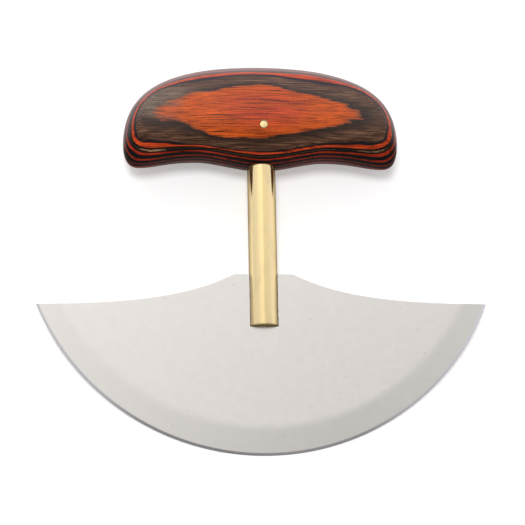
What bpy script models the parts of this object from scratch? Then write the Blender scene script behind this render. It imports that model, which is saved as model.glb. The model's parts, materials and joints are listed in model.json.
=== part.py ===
"""An ulu: a half-moon kitchen knife, a brass stem and a laminated handle across its top.

The knife is drawn upright in its own frame, x across the blade, y up the stem and z through
the thickness, with the blade's tips on y = 0. It then leans back on the crown of the handle
and the bottom of the blade, as it lies on a table, with +Z up.
"""

import math

import bmesh
import bpy
import numpy as np
from mathutils import Vector
from mathutils.geometry import interpolate_bezier

# Blade, in metres like every size here
BLADE_WIDTH = 0.1500
BLADE_THICKNESS = 0.0020
BLADE_DEPTH = 0.0504
EDGE_LAND = 0.00012
EDGE_BEVEL_WIDTH = 0.0006
EDGE_BEVEL_THICKNESS = 0.0005
GRIND_WIDTH = 0.0120
GRIND_WIDTH_AT_TIP = 0.0086
SHOULDER_RISE = 0.0100
SHOULDER_WIDTH = 0.0198
SHOULDER_ROUND = 0.0016

# Stem
STEM_DIAMETER = 0.0095
STEM_OVERLAP = 0.0176
STEM_STANDOFF = 0.0362
STEM_SEAT_DEPTH = 0.0250
STEM_CHAMFER = 0.0003
SOLDER_FILM = 0.00005

# Handle outline, seen from the front
HANDLE_WIDTH = 0.0930
HANDLE_HEIGHT = 0.0359
WIDEST_RISE = 0.0088
LOBE_INSET = 0.0047
LOBE_RISE = 0.0007
ARCH_RISE = 0.0031
ARCH_OFFSET = 0.0022

# Handle thickness and the shape of its faces
VENEER_COUNT = 17
VENEER_THICKNESS = 0.0015
GLUE_LINE = 0.00002
CROWN_SANDED = 0.0004
CROWN_FALL_END = 0.0027
CROWN_FALL_EDGE = 0.0051
SPINE_RISE = 0.0167
SPINE_INSET = 0.0249
ROLL_TOP = 0.0066
ROLL_END = 0.0063
ROLL_LOBE = 0.0103
ROLL_ARCH = 0.0052
ROLL_NOSE = 0.0055

# Cross pin, which goes through the middle of the stem's seat
PIN_DIAMETER = 0.0024
PIN_HEAD_FLARE = 0.0002
PIN_HEAD_DEPTH = 0.0009
PIN_HEAD_LAND = 0.0002

# Clearances
BORE_CLEARANCE = 0.0003
PIN_CLEARANCE = 0.00005

# How full each curve of the handle's outline is where it leaves and where it arrives
DOME_PULL = (0.67, 0.68)
LOBE_SIDE_PULL = (0.56, 0.76)
LOBE_ARCH_PULL = (0.30, 0.55)
ARCH_NOSE_PULL = (0.25, 0.30)

# How the blade's top edge dips from the shoulder towards the tip, as shares of its span
FLANK_REACH = 0.23
FLANK_DIP = 0.72
FLANK_TAIL = 0.49

# Facets
CURVE_POINTS = 60
SPINE_STEPS = 12
END_STEPS = 30
CROWN_STEPS = 5
FLANK_STEPS = 26
CORNER_STEPS = 4
SHOULDER_STEPS = 2
ROUND_SIDES = 48
PIN_SIDES = 24
MERGE_DISTANCE = 0.000001
SHARP_ANGLE = math.radians(30)
CHAMFER_ANGLE = math.radians(60)

# Searches by halving
SEARCH_ROUNDS = 30
STEEPEST_LEAN = math.radians(30)

# Directions in which a curve leaves or arrives
LEVEL = Vector((1, 0))
UPRIGHT = Vector((0, 1))

# Values that follow from the sizes above
BLADE_HALF = BLADE_WIDTH / 2
EDGE_RADIUS = (BLADE_HALF ** 2 + BLADE_DEPTH ** 2) / (2 * BLADE_DEPTH)
EDGE_CENTRE = EDGE_RADIUS - BLADE_DEPTH
STEM_RADIUS = STEM_DIAMETER / 2
STEM_BOTTOM = SHOULDER_RISE - STEM_OVERLAP
NOSE = SHOULDER_RISE + STEM_STANDOFF
HANDLE_TOP = NOSE + HANDLE_HEIGHT
HANDLE_HALF = HANDLE_WIDTH / 2
SPINE = NOSE + SPINE_RISE
SPINE_HALF = HANDLE_HALF - SPINE_INSET
STACK = VENEER_COUNT * VENEER_THICKNESS + (VENEER_COUNT - 1) * GLUE_LINE
CROWN = STACK / 2 - CROWN_SANDED
BORE_TOP = NOSE + STEM_SEAT_DEPTH
STEM_TOP = BORE_TOP - BORE_CLEARANCE
PIN_LEVEL = NOSE + STEM_SEAT_DEPTH / 2


def clear_scene():
    for thing in list(bpy.data.objects):
        bpy.data.objects.remove(thing, do_unlink=True)


def new_collection(name):
    collection = bpy.data.collections.new(name)
    bpy.context.scene.collection.children.link(collection)
    return collection


def new_material(name, colour, roughness, metallic):
    material = bpy.data.materials.new(name)
    material.use_nodes = True
    shader = material.node_tree.nodes["Principled BSDF"]
    shader.inputs["Base Color"].default_value = (*colour, 1.0)
    shader.inputs["Roughness"].default_value = roughness
    shader.inputs["Metallic"].default_value = metallic
    return material


def new_object(name, build, collection, material=None):
    """Makes an object from the bmesh that build fills."""
    mesh = bpy.data.meshes.new(name)
    shape = bmesh.new()
    build(shape)
    bmesh.ops.recalc_face_normals(shape, faces=shape.faces)
    shape.to_mesh(mesh)
    shape.free()
    thing = bpy.data.objects.new(name, mesh)
    collection.objects.link(thing)
    if material:
        mesh.materials.append(material)
    return thing


def as_cutter(thing):
    thing.hide_render = True
    thing.display_type = "WIRE"
    return thing


def cut(thing, cutter):
    hole = thing.modifiers.new("cut by " + cutter.name, "BOOLEAN")
    hole.operation = "DIFFERENCE"
    hole.solver = "EXACT"
    hole.object = cutter


def shade_round(thing):
    thing.data.shade_smooth()
    thing.data.set_sharp_from_angle(angle=SHARP_ANGLE)


def loft(shape, loops, cap_end=True):
    """Joins closed loops of equal length into a skin and caps its ends."""
    rings = [[shape.verts.new(point) for point in loop] for loop in loops]
    count = len(rings[0])
    for lower, upper in zip(rings, rings[1:]):
        for i in range(count):
            j = (i + 1) % count
            shape.faces.new((lower[i], lower[j], upper[j], upper[i]))
    shape.faces.new(rings[0])
    if cap_end:
        shape.faces.new(rings[-1])


def bezier(start, start_pull, end_pull, end, points):
    """Points of one cubic curve in the plane, without its last one."""
    knots = [p.to_3d() for p in (start, start_pull, end_pull, end)]
    return [p.xy for p in interpolate_bezier(*knots, points + 1)[:-1]]


# The blade

def top_edge():
    """The blade's upper edge from the right tip to the middle of the shoulder."""
    tip = Vector((BLADE_HALF, 0))
    corner = Vector((SHOULDER_WIDTH / 2, SHOULDER_RISE))
    span = (tip.x - corner.x) * LEVEL
    tail = tip - FLANK_TAIL * span
    dip = corner + FLANK_REACH * span - FLANK_DIP * SHOULDER_RISE * UPRIGHT
    start = corner + (dip - corner).normalized() * SHOULDER_ROUND
    level = corner - SHOULDER_ROUND * LEVEL
    middle = Vector((0, SHOULDER_RISE))
    points = bezier(tip, tail, dip, start, FLANK_STEPS)
    points += bezier(start, corner, corner, level, CORNER_STEPS)
    points += [level.lerp(middle, i / SHOULDER_STEPS) for i in range(SHOULDER_STEPS + 1)]
    return points


def arc_below(radius, centre, end_x, steps):
    """Points of an arc round (0, centre), from x = end_x down to the bottom."""
    sweep = math.asin(end_x / radius)
    angles = [sweep * (1 - i / steps) for i in range(steps + 1)]
    return [Vector((radius * math.sin(a), centre - radius * math.cos(a))) for a in angles]


def past_grind(top):
    """The top edge without the stretch at its tip, where the grind reaches up to it."""
    centre = Vector((0, EDGE_CENTRE))
    return [p for p in top if EDGE_RADIUS - (p - centre).length >= GRIND_WIDTH_AT_TIP]


def grind_line(start, steps):
    """The arc where the flat of the blade meets the grind, from the top edge to the bottom."""
    bottom = GRIND_WIDTH - BLADE_DEPTH
    rise = start.y - bottom
    radius = (start.x ** 2 + rise ** 2) / (2 * rise)
    return arc_below(radius, bottom + radius, start.x, steps)


def blade_sections():
    """Closed loops across the blade, one for each station from the right tip to the left."""
    top = past_grind(top_edge())
    steps = len(top) - 1
    grind = grind_line(top[0], steps)
    edge = arc_below(EDGE_RADIUS, EDGE_CENTRE, BLADE_HALF, steps)
    flat = BLADE_THICKNESS / 2
    bevel = EDGE_BEVEL_THICKNESS / 2
    land = EDGE_LAND / 2
    loops = []
    for high, ground, sharp in zip(top, grind, edge):
        shoulder = sharp + (ground - sharp).normalized() * EDGE_BEVEL_WIDTH
        half = [(high, flat), (ground, flat), (shoulder, bevel), (sharp, land)]
        front = [(p.x, p.y, z) for p, z in half]
        back = [(p.x, p.y, -z) for p, z in reversed(half)]
        loops.append(front + back)
    mirrored = [[(-x, y, z) for x, y, z in loop] for loop in reversed(loops[:-1])]
    return loops + mirrored


def blade_shape(shape):
    loft(shape, blade_sections())
    bmesh.ops.remove_doubles(shape, verts=shape.verts, dist=MERGE_DISTANCE)
    bmesh.ops.dissolve_degenerate(shape, edges=shape.edges, dist=MERGE_DISTANCE)


# The handle

def outline():
    """The right half of the handle's outline from its top to its nose, with the roll there."""
    top = Vector((0, HANDLE_TOP))
    widest = Vector((HANDLE_HALF, NOSE + WIDEST_RISE))
    lobe = Vector((HANDLE_HALF - LOBE_INSET, NOSE + LOBE_RISE))
    arch = Vector(((lobe.x + STEM_RADIUS) / 2 - ARCH_OFFSET, NOSE + ARCH_RISE))
    nose = Vector((0, NOSE))
    curves = [
        (top, LEVEL, widest, UPRIGHT, DOME_PULL),
        (widest, UPRIGHT, lobe, LEVEL, LOBE_SIDE_PULL),
        (lobe, LEVEL, arch, LEVEL, LOBE_ARCH_PULL),
        (arch, LEVEL, nose, LEVEL, ARCH_NOSE_PULL),
    ]
    rolls = [ROLL_TOP, ROLL_END, ROLL_LOBE, ROLL_ARCH, ROLL_NOSE]
    turns = [math.pi * i / CURVE_POINTS for i in range(CURVE_POINTS)]
    points = []
    widths = []
    for (start, leaving, end, arriving, pulls), roll, next_roll in zip(curves, rolls, rolls[1:]):
        span = end - start
        start_pull = start + pulls[0] * span * leaving
        end_pull = end - pulls[1] * span * arriving
        points += bezier(start, start_pull, end_pull, end, CURVE_POINTS)
        widths += [roll + (next_roll - roll) * (1 - math.cos(turn)) / 2 for turn in turns]
    points.append(nose)
    widths.append(ROLL_NOSE)
    return points, widths


def handle_rays():
    """Rays from the crown's spine to the outline, right round the handle.

    Each is its start on the spine, its end on the outline and the width of the roll there.
    """
    points, widths = outline()
    x = np.array([p.x for p in points])
    y = np.array([p.y for p in points])
    roll = np.array(widths)
    widest = int(np.argmax(x))
    top_x, top_y, top_roll = x[:widest], y[:widest], roll[:widest]
    low_x, low_y, low_roll = x[:widest:-1], y[:widest:-1], roll[:widest:-1]
    spine = np.linspace(0, SPINE_HALF, SPINE_STEPS // 2 + 1)
    upper = [(s, s, np.interp(s, top_x, top_y), np.interp(s, top_x, top_roll)) for s in spine]
    lower = [(s, s, np.interp(s, low_x, low_y), np.interp(s, low_x, low_roll)) for s in spine]

    beyond = x > SPINE_HALF
    end_x = np.concatenate([[SPINE_HALF], x[beyond], [SPINE_HALF]])
    end_y = np.concatenate([[upper[-1][2]], y[beyond], [lower[-1][2]]])
    end_roll = np.concatenate([[upper[-1][3]], roll[beyond], [lower[-1][3]]])
    length = np.concatenate([[0], np.cumsum(np.hypot(np.diff(end_x), np.diff(end_y)))])
    stops = np.linspace(0, length[-1], END_STEPS + 1)[1:-1]
    end = [
        (SPINE_HALF, np.interp(s, length, end_x), np.interp(s, length, end_y),
         np.interp(s, length, end_roll))
        for s in stops
    ]
    right = upper + end + lower[::-1]
    left = [(-s, -px, py, width) for s, px, py, width in right[1:-1][::-1]]
    return [(Vector((s, SPINE)), Vector((px, py)), width) for s, px, py, width in right + left]


def face_height(ray, share):
    """How far the handle's face stands off the mid-plane, at a share of the way along a ray."""
    start, end, roll = ray
    point = start.lerp(end, share)
    length = (end - start).length
    across = point.x / HANDLE_HALF
    along = (point.y - SPINE) / (HANDLE_TOP - SPINE)
    crown = CROWN - CROWN_FALL_END * across ** 2 - CROWN_FALL_EDGE * along ** 2
    into_roll = max(0.0, 1 - length * (1 - share) / min(roll, length))
    return crown * math.sqrt(max(0.0, 1 - into_roll ** 2))


def share_at(ray, level):
    """The share of a ray at which the face has fallen to a level."""
    near, far = 0.0, 1.0
    for _ in range(SEARCH_ROUNDS):
        middle = (near + far) / 2
        if face_height(ray, middle) > abs(level):
            near = middle
        else:
            far = middle
    return near


def contour(rays, level):
    """The handle's section at one height of the stack, as a closed loop."""
    ends = [ray[0].lerp(ray[1], share_at(ray, level)) for ray in rays]
    return [(point.x, point.y, level) for point in ends]


def crown_loops(rays, level, side):
    """Loops over the face from a level up to the spine."""
    shares = [share_at(ray, level) for ray in rays]
    loops = []
    for step in range(1, CROWN_STEPS + 1):
        left_over = 1 - step / CROWN_STEPS
        loop = []
        for ray, share in zip(rays, shares):
            point = ray[0].lerp(ray[1], share * left_over)
            loop.append((point.x, point.y, side * face_height(ray, share * left_over)))
        loops.append(loop)
    return loops


def veneer_levels():
    """The lower and upper face of each veneer, from the back of the handle to the front."""
    pitch = VENEER_THICKNESS + GLUE_LINE
    floors = [-STACK / 2 + i * pitch for i in range(VENEER_COUNT)]
    return [(floor, floor + VENEER_THICKNESS) for floor in floors]


def veneer_builder(rays, floor, ceiling):
    """A veneer's solid: flat on its glued faces, and shaped with the handle on its rim."""
    def build(shape):
        if ceiling > CROWN or floor < -CROWN:
            side = 1 if ceiling > CROWN else -1
            glued = floor if side > 0 else ceiling
            loops = [contour(rays, glued)] + crown_loops(rays, glued, side)
            loft(shape, loops, cap_end=False)
            bmesh.ops.remove_doubles(shape, verts=shape.verts, dist=MERGE_DISTANCE)
        else:
            middle = (floor + ceiling) / 2
            loft(shape, [contour(rays, level) for level in (floor, middle, ceiling)])
    return build


# The stem and the pin

def rod_builder(radius, bottom, top):
    """A round rod along the stem's axis."""
    def build(shape):
        rod = bmesh.ops.create_cone(
            shape, cap_ends=True, segments=ROUND_SIDES,
            radius1=radius, radius2=radius, depth=top - bottom,
        )
        tilt = Vector((0, 0, 1)).rotation_difference(Vector((0, 1, 0))).to_matrix()
        bmesh.ops.rotate(shape, verts=rod["verts"], matrix=tilt)
        bmesh.ops.translate(shape, verts=rod["verts"], vec=(0, (bottom + top) / 2, 0))
    return build


def slot_shape(shape):
    """The space that the slot takes out of the stem, from below its end to the shoulder."""
    top = SHOULDER_RISE + SOLDER_FILM
    bottom = STEM_BOTTOM - STEM_DIAMETER
    box = bmesh.ops.create_cube(shape, size=1)
    size = (2 * STEM_DIAMETER, top - bottom, BLADE_THICKNESS + 2 * SOLDER_FILM)
    bmesh.ops.scale(shape, verts=box["verts"], vec=size)
    bmesh.ops.translate(shape, verts=box["verts"], vec=(0, (top + bottom) / 2, 0))


def add_chamfer(thing, width):
    bevel = thing.modifiers.new("chamfer", "BEVEL")
    bevel.width = width
    bevel.segments = 1
    bevel.limit_method = "ANGLE"
    bevel.angle_limit = CHAMFER_ANGLE


def pin_profile(reach, room=0.0, past_face=0.0):
    """Half of the pin's outline: a shank that flares into a peened head at each end."""
    shank = PIN_DIAMETER / 2 + room
    head = shank + PIN_HEAD_FLARE
    end = reach + past_face
    upper = [
        (0, end),
        (head, end),
        (head, reach - PIN_HEAD_LAND),
        (shank, reach - PIN_HEAD_DEPTH),
    ]
    return upper + [(x, -z) for x, z in reversed(upper)]


def turned(name, profile, collection, material=None):
    """A profile turned about z with a Screw modifier."""
    def build(shape):
        corners = [shape.verts.new((x, 0, z)) for x, z in profile]
        for upper, lower in zip(corners, corners[1:]):
            shape.edges.new((upper, lower))
    thing = new_object(name, build, collection, material)
    screw = thing.modifiers.new("turn", "SCREW")
    screw.steps = PIN_SIDES
    screw.render_steps = PIN_SIDES
    screw.use_merge_vertices = True
    screw.merge_threshold = MERGE_DISTANCE
    screw.use_smooth_shade = True
    return thing


# The way it lies

def lowest(points, tilt):
    return min(p.y * math.sin(tilt) + p.z * math.cos(tilt) for p in points)


def rest_tilt(handle_points, other_points):
    """The lean at which the handle and the blade end touch one level surface."""
    near, far = 0.0, STEEPEST_LEAN
    for _ in range(SEARCH_ROUNDS):
        tilt = (near + far) / 2
        if lowest(handle_points, tilt) < lowest(other_points, tilt):
            near = tilt
        else:
            far = tilt
    return tilt


def lay_down(knife, handle_points, other_points):
    """Leans the knife back to its rest, with the origin under the middle of its box."""
    tilt = rest_tilt(handle_points, other_points)
    every = handle_points + other_points
    depths = [p.y * math.cos(tilt) - p.z * math.sin(tilt) for p in every]
    knife.rotation_euler = (tilt, 0, 0)
    knife.location = (0, -(min(depths) + max(depths)) / 2, -lowest(every, tilt))


def make_blade(parts):
    steel = new_material("blade steel", (0.72, 0.70, 0.66), 0.32, 1.0)
    blade = new_object("blade", blade_shape, parts, steel)
    shade_round(blade)
    return blade


def make_stem(parts, cutters, brass):
    stem = new_object("stem", rod_builder(STEM_RADIUS, STEM_BOTTOM, STEM_TOP), parts, brass)
    shade_round(stem)
    add_chamfer(stem, STEM_CHAMFER)
    slot = as_cutter(new_object("stem_slot_cutter", slot_shape, cutters))
    cut(stem, slot)
    return stem, slot


def make_pin(parts, cutters, brass, reach):
    pin = turned("cross_pin", pin_profile(reach), parts, brass)
    wider = pin_profile(reach, PIN_CLEARANCE, CROWN_SANDED)
    hole = as_cutter(turned("pin_hole_cutter", wider, cutters))
    for thing in (pin, hole):
        thing.location = (0, PIN_LEVEL, 0)
    return pin, hole


def make_veneers(parts, cutters, rays, pin_hole):
    red = new_material("red veneer", (0.52, 0.10, 0.03), 0.35, 0.0)
    dark = new_material("dark veneer", (0.07, 0.05, 0.04), 0.35, 0.0)
    bore_radius = STEM_RADIUS + BORE_CLEARANCE
    below = NOSE - STEM_DIAMETER
    bore = as_cutter(new_object("bore_cutter", rod_builder(bore_radius, below, BORE_TOP), cutters))
    veneers = []
    for number, (floor, ceiling) in enumerate(veneer_levels(), start=1):
        material = red if number % 2 else dark
        build = veneer_builder(rays, floor, ceiling)
        veneer = new_object(f"veneer_{number:02d}", build, parts, material)
        shade_round(veneer)
        if floor < bore_radius and ceiling > -bore_radius:
            cut(veneer, bore)
        cut(veneer, pin_hole)
        veneers.append(veneer)
    return veneers, bore


def main():
    clear_scene()
    parts = new_collection("ulu knife")
    cutters = new_collection("cutters")
    brass = new_material("brass", (0.80, 0.62, 0.28), 0.25, 1.0)
    rays = handle_rays()
    nose_ray = min(rays, key=lambda ray: (abs(ray[1].x), ray[1].y))
    low_side_of_head = PIN_LEVEL - PIN_DIAMETER / 2 - PIN_HEAD_FLARE
    pin_reach = face_height(nose_ray, (SPINE - low_side_of_head) / SPINE_RISE)

    blade = make_blade(parts)
    stem, slot = make_stem(parts, cutters, brass)
    pin, pin_hole = make_pin(parts, cutters, brass, pin_reach)
    cut(stem, pin_hole)
    veneers, bore = make_veneers(parts, cutters, rays, pin_hole)

    knife = bpy.data.objects.new("knife", None)
    parts.objects.link(knife)
    for thing in [blade, stem, slot, pin, pin_hole, bore] + veneers:
        thing.parent = knife
    handle_points = [v.co.copy() for veneer in veneers for v in veneer.data.vertices]
    other_points = [v.co.copy() for thing in (blade, stem) for v in thing.data.vertices]
    lay_down(knife, handle_points, other_points)


main()
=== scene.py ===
import json
import math

import bmesh
import bpy
import numpy as np
from mathutils import Matrix, Vector
from mathutils.geometry import interpolate_bezier


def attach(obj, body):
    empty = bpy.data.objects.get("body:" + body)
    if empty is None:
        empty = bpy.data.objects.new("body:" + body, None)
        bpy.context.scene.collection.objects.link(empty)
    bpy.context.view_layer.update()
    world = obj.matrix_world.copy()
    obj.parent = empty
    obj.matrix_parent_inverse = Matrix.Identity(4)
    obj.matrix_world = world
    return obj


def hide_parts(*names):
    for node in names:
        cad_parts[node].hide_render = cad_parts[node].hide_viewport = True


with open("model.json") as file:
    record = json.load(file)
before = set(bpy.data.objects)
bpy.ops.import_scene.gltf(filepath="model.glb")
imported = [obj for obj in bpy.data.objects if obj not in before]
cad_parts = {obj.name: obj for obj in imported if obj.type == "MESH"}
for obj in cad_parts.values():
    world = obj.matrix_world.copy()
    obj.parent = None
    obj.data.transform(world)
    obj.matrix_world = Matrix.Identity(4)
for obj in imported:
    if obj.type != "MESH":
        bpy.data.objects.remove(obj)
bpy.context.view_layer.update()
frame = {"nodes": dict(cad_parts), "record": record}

mm = 0.001
weldDistance = 0.001 * mm
sharpAngle = math.radians(35)
level = Vector((1, 0))
upright = Vector((0, 1))


# Every piece is drawn upright in the knife's own frame, x across the blade, y up the stem and
# z through the thickness, with the tips at y = 0, and is then placed as the knife lies

frontFlat = next(m for m in frame["record"]["mounts"] if m["name"] == "blade_front_flat")
lean = math.atan2(-frontFlat["axis"][1], frontFlat["axis"][2])
bladePoints = [v.co.copy() for v in frame["nodes"]["blade"].data.vertices]
tipReach = max(p.x for p in bladePoints)
tips = [p for p in bladePoints if abs(p.x) > tipReach - 0.01 * mm]
origin = Vector((0, sum(p.y for p in tips), sum(p.z for p in tips))) / len(tips)
knifePlace = Matrix.Translation(origin) @ Matrix.Rotation(lean, 4, "X")
fromWorld = knifePlace.inverted()
print("the knife leans back", round(math.degrees(lean), 2), "degrees")


def knifeBox(*names):
    # The lowest and highest corner of some CAD nodes in the knife's own frame
    points = [fromWorld @ v.co for name in names for v in frame["nodes"][name].data.vertices]
    low = Vector([min(p[axis] for p in points) for axis in range(3)])
    high = Vector([max(p[axis] for p in points) for axis in range(3)])
    return low, high


veneers = sorted(name for name in frame["nodes"] if name.startswith("veneer"))
bladeLow, bladeHigh = knifeBox("blade")
stemLow, stemHigh = knifeBox("stem")
pinLow, pinHigh = knifeBox("cross_pin")
handleLow, handleHigh = knifeBox(*veneers)
middlePlies = veneers[len(veneers) // 2 - 1:len(veneers) // 2 + 1]
plyPitch = knifeBox(middlePlies[1])[1].z - knifeBox(middlePlies[0])[1].z
halfBlade = bladeHigh.x
shoulderTop = bladeHigh.y
stemRadius = stemHigh.x
pinLevel = (pinLow.y + pinHigh.y) / 2


# Node trees

class NodeValue:
    # A number inside a node tree, so that formulas read as they do in plain Python

    def __init__(self, tree, socket):
        self.tree = tree
        self.socket = socket

    def __add__(self, other):
        return calc(self.tree, "ADD", self, other)

    def __radd__(self, other):
        return calc(self.tree, "ADD", other, self)

    def __sub__(self, other):
        return calc(self.tree, "SUBTRACT", self, other)

    def __rsub__(self, other):
        return calc(self.tree, "SUBTRACT", other, self)

    def __mul__(self, other):
        return calc(self.tree, "MULTIPLY", self, other)

    def __rmul__(self, other):
        return calc(self.tree, "MULTIPLY", other, self)

    def __truediv__(self, other):
        return calc(self.tree, "DIVIDE", self, other)

    def __mod__(self, other):
        return calc(self.tree, "MODULO", self, other)


def feed(tree, value, socket):
    # Links a value into a socket, or sets it there when it is a plain one
    if isinstance(value, NodeValue):
        value = value.socket
    if isinstance(value, bpy.types.NodeSocket):
        tree.links.new(value, socket)
    else:
        socket.default_value = value


def addNode(tree, kind, inputs=None, **settings):
    node = tree.nodes.new(kind)
    for name, value in settings.items():
        setattr(node, name, value)
    for key, value in (inputs or {}).items():
        feed(tree, value, node.inputs[key])
    return node


def calc(tree, operation, *values):
    node = addNode(tree, "ShaderNodeMath", dict(enumerate(values)), operation=operation)
    return NodeValue(tree, node.outputs[0])


def splitVector(tree, vector):
    node = addNode(tree, "ShaderNodeSeparateXYZ", {0: vector})
    return [NodeValue(tree, node.outputs[axis]) for axis in range(3)]


def smoothStep(tree, value, low, high, start=0.0, end=1.0):
    node = addNode(tree, "ShaderNodeMapRange", interpolation_type="SMOOTHSTEP")
    for socket, number in zip(node.inputs, (value, low, high, start, end)):
        feed(tree, number, socket)
    return NodeValue(tree, node.outputs[0])


def newGeometryTree(name, inputs):
    tree = bpy.data.node_groups.new(name, "GeometryNodeTree")
    for label, kind in inputs.items():
        tree.interface.new_socket(name=label, in_out="INPUT", socket_type="NodeSocket" + kind)
    tree.interface.new_socket(name="Geometry", in_out="OUTPUT", socket_type="NodeSocketGeometry")
    source = tree.nodes.new("NodeGroupInput")
    return tree, {label: source.outputs[label] for label in inputs}


def endGeometryTree(tree, geometry, material):
    smooth = addNode(tree, "GeometryNodeSetShadeSmooth", {"Geometry": geometry})
    real = addNode(tree, "GeometryNodeRealizeInstances", {0: smooth.outputs[0]})
    painted = addNode(tree, "GeometryNodeSetMaterial", {0: real.outputs[0], "Material": material})
    tree.links.new(painted.outputs[0], tree.nodes.new("NodeGroupOutput").inputs[0])


def runTree(thing, tree, values):
    # Runs a tree on an object with the given named inputs and keeps the result as its mesh
    modifier = thing.modifiers.new(tree.name, "NODES")
    modifier.node_group = tree
    for item in tree.interface.items_tree:
        if item.in_out == "INPUT" and item.name in values:
            modifier[item.identifier] = values[item.name]
    return keepResult(thing)


# Objects

def linkObject(name, data):
    thing = bpy.data.objects.new(name, data)
    bpy.context.scene.collection.objects.link(thing)
    return thing


def keepResult(thing):
    # Turns an object with its modifiers into a plain mesh object of the same name
    bpy.context.view_layer.update()
    graph = bpy.context.evaluated_depsgraph_get()
    mesh = bpy.data.meshes.new_from_object(thing.evaluated_get(graph), depsgraph=graph)
    name = thing.name
    bpy.data.objects.remove(thing, do_unlink=True)
    return linkObject(name, mesh)


def meshObject(name, shape, material=None):
    bmesh.ops.remove_doubles(shape, verts=shape.verts, dist=weldDistance)
    bmesh.ops.dissolve_degenerate(shape, edges=shape.edges, dist=weldDistance)
    bmesh.ops.recalc_face_normals(shape, faces=shape.faces)
    mesh = bpy.data.meshes.new(name)
    shape.to_mesh(mesh)
    shape.free()
    if material:
        mesh.materials.append(material)
    mesh.shade_smooth()
    return linkObject(name, mesh)


def cutOut(thing, *cutters):
    for cutter in cutters:
        hole = thing.modifiers.new("cut by " + cutter.name, "BOOLEAN")
        hole.operation = "DIFFERENCE"
        hole.solver = "EXACT"
        hole.object = cutter
    result = keepResult(thing)
    for cutter in cutters:
        bpy.data.objects.remove(cutter, do_unlink=True)
    return result


def turnedShape(profile, sides, axis="Z"):
    # A profile of (radius, place along the axis) points, turned round and closed at both ends
    shape = bmesh.new()
    rings = []
    for radius, along in profile:
        angles = [2 * math.pi * i / sides for i in range(sides)]
        ring = [Vector((radius * math.cos(a), radius * math.sin(a), along)) for a in angles]
        rings.append([shape.verts.new(p) for p in ring])
    for lower, upper in zip(rings, rings[1:]):
        for i in range(sides):
            j = (i + 1) % sides
            shape.faces.new((lower[i], lower[j], upper[j], upper[i]))
    shape.faces.new(rings[0])
    shape.faces.new(rings[-1])
    if axis == "Y":
        bmesh.ops.rotate(shape, verts=shape.verts, matrix=Matrix.Rotation(-math.pi / 2, 3, "X"))
    return shape


def bezierPoints(start, startPull, endPull, end, count):
    # Points of one cubic curve in the plane, without its last one
    knots = [p.to_3d() for p in (start, startPull, endPull, end)]
    return [p.xy for p in interpolate_bezier(*knots, count + 1)[:-1]]


def finishPiece(thing, slotName, *replaced):
    thing.data.set_sharp_from_angle(angle=sharpAngle)
    thing.data.transform(knifePlace)
    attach(thing, "root")
    if replaced:
        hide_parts(*replaced)
    print(thing.name, "has", len(thing.data.polygons), "faces")


# Materials

def newMaterial(name):
    material = bpy.data.materials.new(name)
    material.use_nodes = True
    return material, material.node_tree, material.node_tree.nodes["Principled BSDF"]


def knifeCoordinates(tree):
    # Object coordinates turned into the knife's own frame, so that grain runs along the handle
    coordinates = tree.nodes.new("ShaderNodeTexCoord")
    mapping = addNode(tree, "ShaderNodeMapping", vector_type="TEXTURE", inputs={
        "Vector": coordinates.outputs["Object"],
        "Location": origin,
        "Rotation": (lean, 0, 0),
    })
    return mapping.outputs["Vector"]


def noiseAt(tree, vector, size, detail, shift):
    # Noise whose lumps have the given size in millimetres along x, y and z
    scaled = addNode(tree, "ShaderNodeVectorMath", operation="MULTIPLY_ADD", inputs={
        0: vector,
        1: [1 / (length * mm) for length in size],
        2: (shift, shift, shift),
    })
    noise = addNode(tree, "ShaderNodeTexNoise", {
        "Vector": scaled.outputs[0],
        "Scale": 1.0,
        "Detail": detail,
    })
    return NodeValue(tree, noise.outputs[0])


def mixColours(tree, share, first, second):
    node = addNode(tree, "ShaderNodeMix", {0: share, 6: first, 7: second}, data_type="RGBA")
    return node.outputs[2]


def brighten(tree, colour, amount):
    node = addNode(tree, "ShaderNodeHueSaturation", {"Color": colour, "Value": amount})
    return node.outputs["Color"]


def specksAt(tree, vector, perMetre, *fade):
    # Small round specks, which fade with the distance from their middles
    cells = addNode(tree, "ShaderNodeTexVoronoi", {"Vector": vector, "Scale": perMetre})
    return smoothStep(tree, NodeValue(tree, cells.outputs["Distance"]), *fade)


def addBump(tree, shader, height, depth, strength):
    bump = addNode(tree, "ShaderNodeBump", {
        "Height": height,
        "Distance": depth,
        "Strength": strength,
    })
    tree.links.new(bump.outputs["Normal"], shader.inputs["Normal"])


def finishMetal(tree, shader, colour, marks, roughness, varies):
    # Its colour, and a roughness that varies with some marks
    feed(tree, colour, shader.inputs["Base Color"])
    feed(tree, roughness + (marks - 0.5) * varies, shader.inputs["Roughness"])
    shader.inputs["Metallic"].default_value = 1.0


# The wood: dyed veneers, glued face to face, as the shaping has cut through them

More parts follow.
